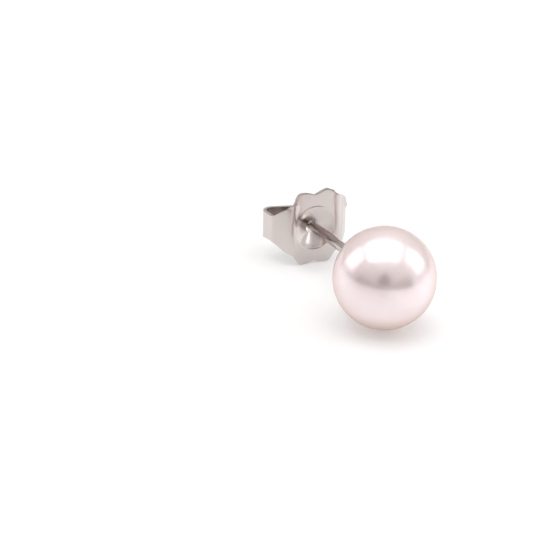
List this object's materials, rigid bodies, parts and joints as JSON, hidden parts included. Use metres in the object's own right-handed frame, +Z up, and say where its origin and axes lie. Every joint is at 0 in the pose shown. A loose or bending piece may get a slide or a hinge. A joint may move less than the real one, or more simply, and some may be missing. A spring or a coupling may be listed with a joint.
{
  "type": "pearl stud earring",
  "caption": "Round pearl stud earring on a straight friction post, with a sliding butterfly clutch, lying on its side.",
  "frame": {"origin": "on the surface that the earring lies on, under the middle of the box round it", "axes": "+Z up from the surface; +Y along the post from the pearl to the clutch, as seen from above; +X across"},
  "size_m": [0.0074, 0.018, 0.0075],
  "materials": {
    "nacre": "lustrous pinkish white nacre",
    "white_gold": "polished white gold with fine drawing marks"
  },
  "bodies": {
    "stud": {"pearl": "nacre", "post": "white_gold"},
    "clutch": {"butterfly_clutch": "white_gold"}
  },
  "joints": [
    {"name": "clutch_slide", "type": "slide", "parent": "stud", "child": "clutch", "axis": [0, 0.9964, -0.0851], "range_m": [-0.0067, 0.0015]}
  ]
}
